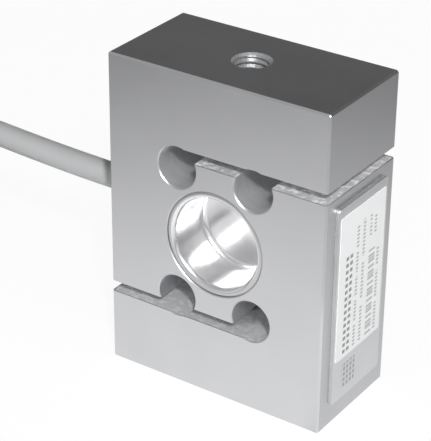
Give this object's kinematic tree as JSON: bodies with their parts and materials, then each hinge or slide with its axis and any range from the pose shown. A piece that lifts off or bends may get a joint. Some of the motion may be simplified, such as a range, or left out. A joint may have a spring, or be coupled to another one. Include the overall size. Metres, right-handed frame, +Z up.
{
  "type": "s type load cell",
  "caption": "S-shaped tension and compression load cell with a tapped hole in each end, relief holes, a sealed centre bore and a side cable.",
  "frame": {"origin": "centre of the underside, on the load axis", "axes": "+X along the front face towards the covered side, +Y into the depth, +Z up along the load axis"},
  "size_m": [0.202, 0.0502, 0.07],
  "materials": {
    "plated_steel": "satin nickel plate",
    "bright_steel": "polished",
    "gauge_foil": "etched foil on amber film",
    "copper_wire": "enamelled",
    "foam": "closed-cell foam",
    "board_laminate": "solder mask",
    "resistor_body": "glazed",
    "cover_metal": "satin",
    "label_film": null,
    "red_insulation": "smooth",
    "black_insulation": "smooth",
    "green_insulation": "smooth",
    "white_insulation": "smooth",
    "gland_metal": "turned nickel plate",
    "seal_rubber": "moulded",
    "cable_jacket": "satin grey jacket",
    "strap_fabric": "woven hook-and-loop",
    "tinned_braid": "tinned braid"
  },
  "bodies": {
    "root": {"spring_body": "plated_steel", "front_sealing_cup": "bright_steel", "rear_sealing_cup": "bright_steel", "upper_right_gauge": "gauge_foil", "upper_left_gauge": "gauge_foil", "lower_left_gauge": "gauge_foil", "lower_right_gauge": "gauge_foil", "upper_bridge_wire": "copper_wire", "lower_bridge_wire": "copper_wire", "board_spacer": "foam", "compensation_board": "board_laminate", "balance_resistors": "resistor_body", "span_resistors": "resistor_body", "cover_gasket": "foam", "side_cover_plate": "cover_metal", "rating_label": "label_film", "red_inner_lead": "red_insulation", "black_inner_lead": "black_insulation", "green_inner_lead": "green_insulation", "white_inner_lead": "white_insulation", "gland_body": "gland_metal", "gland_seal": "seal_rubber", "gland_nut": "gland_metal", "cable_lead": "cable_jacket", "cable_hank": "cable_jacket", "cable_tail": "cable_jacket", "front_strap": "strap_fabric", "rear_strap": "strap_fabric", "red_conductor": "red_insulation", "white_conductor": "white_insulation", "green_conductor": "green_insulation", "black_conductor": "black_insulation", "drain_wire": "tinned_braid"}
  },
  "joints": []
}
